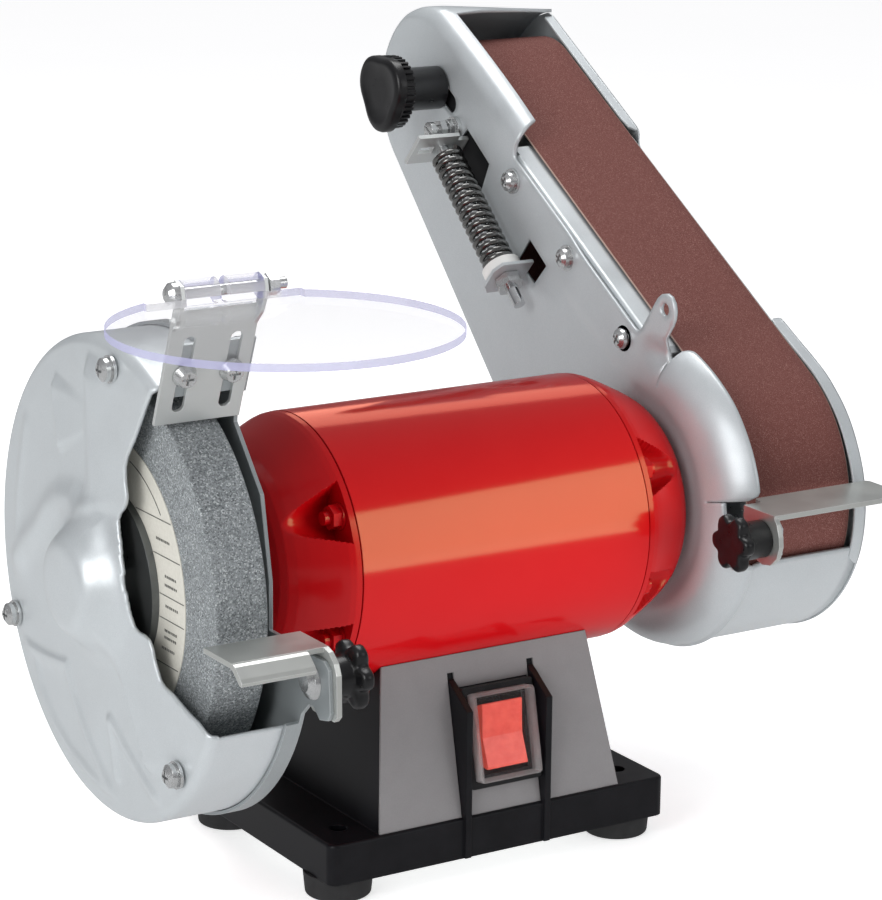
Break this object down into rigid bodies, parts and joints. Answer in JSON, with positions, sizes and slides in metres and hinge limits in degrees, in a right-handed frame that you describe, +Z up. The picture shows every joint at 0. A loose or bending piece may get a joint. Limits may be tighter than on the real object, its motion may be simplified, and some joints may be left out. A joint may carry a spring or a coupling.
{
  "type": "bench grinder and belt sander",
  "caption": "Bench motor unit driving a guarded grinding wheel at one end and a tilting, spring-tensioned abrasive belt arm at the other, on a switched pedestal base.",
  "frame": {"origin": "bench plane under the feet, at the centre of the four bench bolt holes", "axes": "+X towards the belt arm along the spindle, +Y to the back, +Z up; the switch faces -Y"},
  "size_m": [0.3496, 0.3712, 0.2981],
  "materials": {
    "red_paint": "gloss red enamel",
    "silver_paint": "silver powder coat",
    "black_plastic": "satin moulded black",
    "grey_panel": "satin grey",
    "zinc": "bright zinc plate",
    "steel": "ground steel",
    "spring_steel": "polished spring wire",
    "rubber": "matte rubber",
    "red_plastic": "gloss translucent red",
    "clear_plastic": "clear polycarbonate",
    "abrasive_wheel": "vitrified grey grit",
    "label_paper": "matt card",
    "abrasive_belt": "aluminium oxide grit on cloth",
    "aluminium": "die cast",
    "copper": "varnished winding",
    "lamination": "stacked sheet",
    "white_plastic": "white moulded"
  },
  "bodies": {
    "root": {"base_housing": "black_plastic", "front_panel": "grey_panel", "base_bottom_plate": "zinc", "rubber_feet": "rubber", "bottom_plate_screws": "zinc", "run_capacitor": "white_plastic", "cable_gland": "rubber", "mains_cable": "rubber", "switch_frame": "black_plastic", "switch_cover": "clear_plastic", "motor_tube": "red_paint", "end_bell_left": "red_paint", "end_bell_right": "red_paint", "tie_bolts": "red_paint", "stator_core": "lamination", "stator_windings": "copper", "bearing_outer_rings": "steel", "wheel_guard_back": "silver_paint", "wheel_guard_cover": "silver_paint", "guard_cover_screws": "zinc", "guard_mount_screws": "zinc", "shield_bracket_screws": "zinc", "wheel_rest_bolt": "zinc", "arm_clamp_ring": "steel", "arm_clamp_screws": "zinc"},
    "rocker": {"switch_rocker": "red_plastic"},
    "spindle": {"motor_shaft": "steel", "rotor_core": "lamination", "bearing_inner_rings": "steel", "bearing_balls": "steel", "grinding_wheel": "abrasive_wheel", "wheel_labels": "label_paper", "wheel_flanges": "zinc", "wheel_nut": "zinc", "drive_wheel": "aluminium", "drive_wheel_nut": "zinc"},
    "shield_slide_body": {"shield_bracket": "zinc", "shield_hinge_bolt": "zinc"},
    "shield": {"eye_shield": "clear_plastic"},
    "rest_slide_body": {"wheel_rest": "zinc"},
    "rest_knob": {"wheel_rest_knob": "black_plastic"},
    "belt_arm": {"arm_housing": "silver_paint", "arm_side_cover": "silver_paint", "side_cover_screws": "zinc", "platen": "silver_paint", "platen_screws": "zinc", "sanding_belt": "abrasive_belt", "tension_spring": "spring_steel", "spring_washer": "white_plastic", "stop_screw": "zinc", "belt_rest_bolt": "zinc"},
    "carriage": {"tension_carriage": "zinc", "tension_rod": "zinc", "rod_nut": "zinc"},
    "idler_fork": {"idler_axle": "steel"},
    "idler": {"idler_roller": "aluminium", "idler_bearings": "steel"},
    "track_knob": {"tracking_knob": "black_plastic"},
    "belt_rest_body": {"belt_rest": "zinc"},
    "belt_rest_knob_body": {"belt_rest_knob": "black_plastic"}
  },
  "joints": [
    {"name": "switch_rock", "type": "hinge", "parent": "root", "child": "rocker", "pos_m": [0.0014, -0.05037, 0.0532], "axis": [1, 0, 0], "range_deg": [-9, 9]},
    {"name": "spindle_spin", "type": "hinge", "parent": "root", "child": "spindle", "pos_m": [0, -0.0085, 0.123], "axis": [1, 0, 0], "continuous": true},
    {"name": "shield_height", "type": "slide", "parent": "root", "child": "shield_slide_body", "axis": [0, -0.364, 0.9314], "range_m": [-0.0015, 0.012]},
    {"name": "shield_tilt", "type": "hinge", "parent": "shield_slide_body", "child": "shield", "pos_m": [-0.122, -0.0675, 0.2374], "axis": [1, 0, 0], "range_deg": [-75, 12]},
    {"name": "wheel_rest_slide", "type": "slide", "parent": "root", "child": "rest_slide_body", "axis": [0, -1, 0], "range_m": [-0.002, 0.0048]},
    {"name": "wheel_rest_knob_turn", "type": "hinge", "parent": "root", "child": "rest_knob", "pos_m": [-0.09, -0.1005, 0.1056], "axis": [1, 0, 0], "range_deg": [0, 360]},
    {"name": "arm_tilt", "type": "hinge", "parent": "root", "child": "belt_arm", "pos_m": [0.094, -0.0085, 0.123], "axis": [1, 0, 0], "range_deg": [-31.48, 58.52]},
    {"name": "belt_tension", "type": "slide", "parent": "belt_arm", "child": "carriage", "axis": [0, 0.8528, 0.5222], "range_m": [-0.007, 0], "deforming": ["sanding_belt", "tension_spring"]},
    {"name": "tracking_knob_turn", "type": "hinge", "parent": "carriage", "child": "track_knob", "pos_m": [0.08, 0.14156, 0.26706], "axis": [1, 0, 0], "range_deg": [-180, 180]},
    {"name": "idler_tilt", "type": "hinge", "parent": "carriage", "child": "idler_fork", "pos_m": [0.0958, 0.15119, 0.25478], "axis": [0, -0.5222, 0.8528], "range_deg": [-1.2, 1.2], "deforming": ["sanding_belt"]},
    {"name": "idler_spin", "type": "hinge", "parent": "idler_fork", "child": "idler", "pos_m": [0.129, 0.15119, 0.25478], "axis": [1, 0, 0], "continuous": true},
    {"name": "belt_rest_slide", "type": "slide", "parent": "belt_arm", "child": "belt_rest_body", "axis": [0, -1, 0], "range_m": [0, 0.0038]},
    {"name": "belt_rest_knob_turn", "type": "hinge", "parent": "belt_arm", "child": "belt_rest_knob_body", "pos_m": [0.09, -0.0867, 0.1242], "axis": [1, 0, 0], "range_deg": [0, 360]}
  ],
  "couplings": [
    {"joint": "idler_spin", "follows": "spindle_spin", "ratio": 1.966},
    {"joint": "idler_tilt", "follows": "tracking_knob_turn", "ratio": 0.006667}
  ]
}
